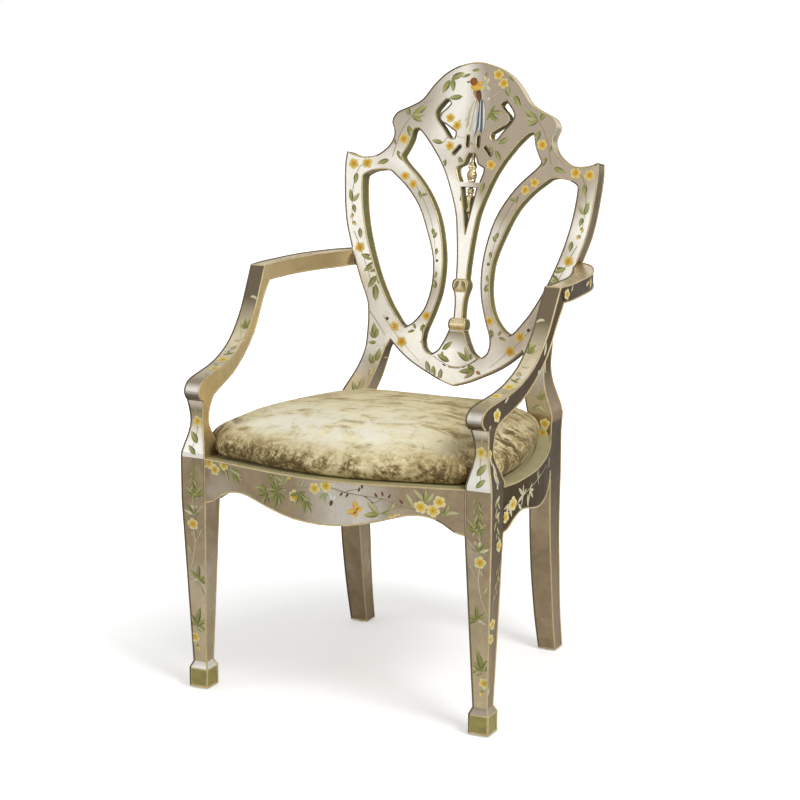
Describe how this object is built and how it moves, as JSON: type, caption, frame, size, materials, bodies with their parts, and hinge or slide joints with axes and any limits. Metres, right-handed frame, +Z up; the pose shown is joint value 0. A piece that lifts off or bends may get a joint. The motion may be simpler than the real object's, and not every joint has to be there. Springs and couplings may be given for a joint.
{
  "type": "shield back armchair",
  "caption": "Silver-leafed and painted wooden armchair with a pierced shield back, swept arms, square tapered legs and a crowned velvet seat.",
  "frame": {"origin": "middle of the footprint, on the floor", "axes": "+Z up, -Y the way the sitter faces, +X to the right seen from the front"},
  "size_m": [0.5588, 0.5966, 0.9805],
  "materials": {
    "silver_leaf": "aged silver leaf with painted sprays and gilt edges",
    "crushed_velvet": "crushed velvet",
    "raw_wood": "unfinished",
    "screw_steel": "plain",
    "dark_glide": "dark felt"
  },
  "bodies": {
    "root": {"front_leg_right": "silver_leaf", "rear_leg_right": "silver_leaf", "side_rail_right": "silver_leaf", "arm_support_right": "silver_leaf", "arm_sweep_right": "silver_leaf", "arm_elbow_right": "silver_leaf", "shield_rib_right": "silver_leaf", "neck_dowel_right": "raw_wood", "mitre_dowel_right": "raw_wood", "arm_dowel_right": "raw_wood", "corner_block_front_right": "raw_wood", "corner_block_rear_right": "raw_wood", "seat_screw_front_right": "screw_steel", "seat_screw_rear_right": "screw_steel", "glide_front_right": "dark_glide", "glide_rear_right": "dark_glide", "front_leg_left": "silver_leaf", "rear_leg_left": "silver_leaf", "side_rail_left": "silver_leaf", "arm_support_left": "silver_leaf", "arm_sweep_left": "silver_leaf", "arm_elbow_left": "silver_leaf", "shield_rib_left": "silver_leaf", "neck_dowel_left": "raw_wood", "mitre_dowel_left": "raw_wood", "arm_dowel_left": "raw_wood", "corner_block_front_left": "raw_wood", "corner_block_rear_left": "raw_wood", "seat_screw_front_left": "screw_steel", "seat_screw_rear_left": "screw_steel", "glide_front_left": "dark_glide", "glide_rear_left": "dark_glide", "front_rail": "silver_leaf", "rear_rail": "silver_leaf", "shield_base": "silver_leaf", "crest_rail": "silver_leaf", "splat": "silver_leaf", "slot_finial": "silver_leaf", "slot_drop": "silver_leaf", "seat_board": "raw_wood", "seat_cushion": "crushed_velvet"}
  },
  "joints": []
}
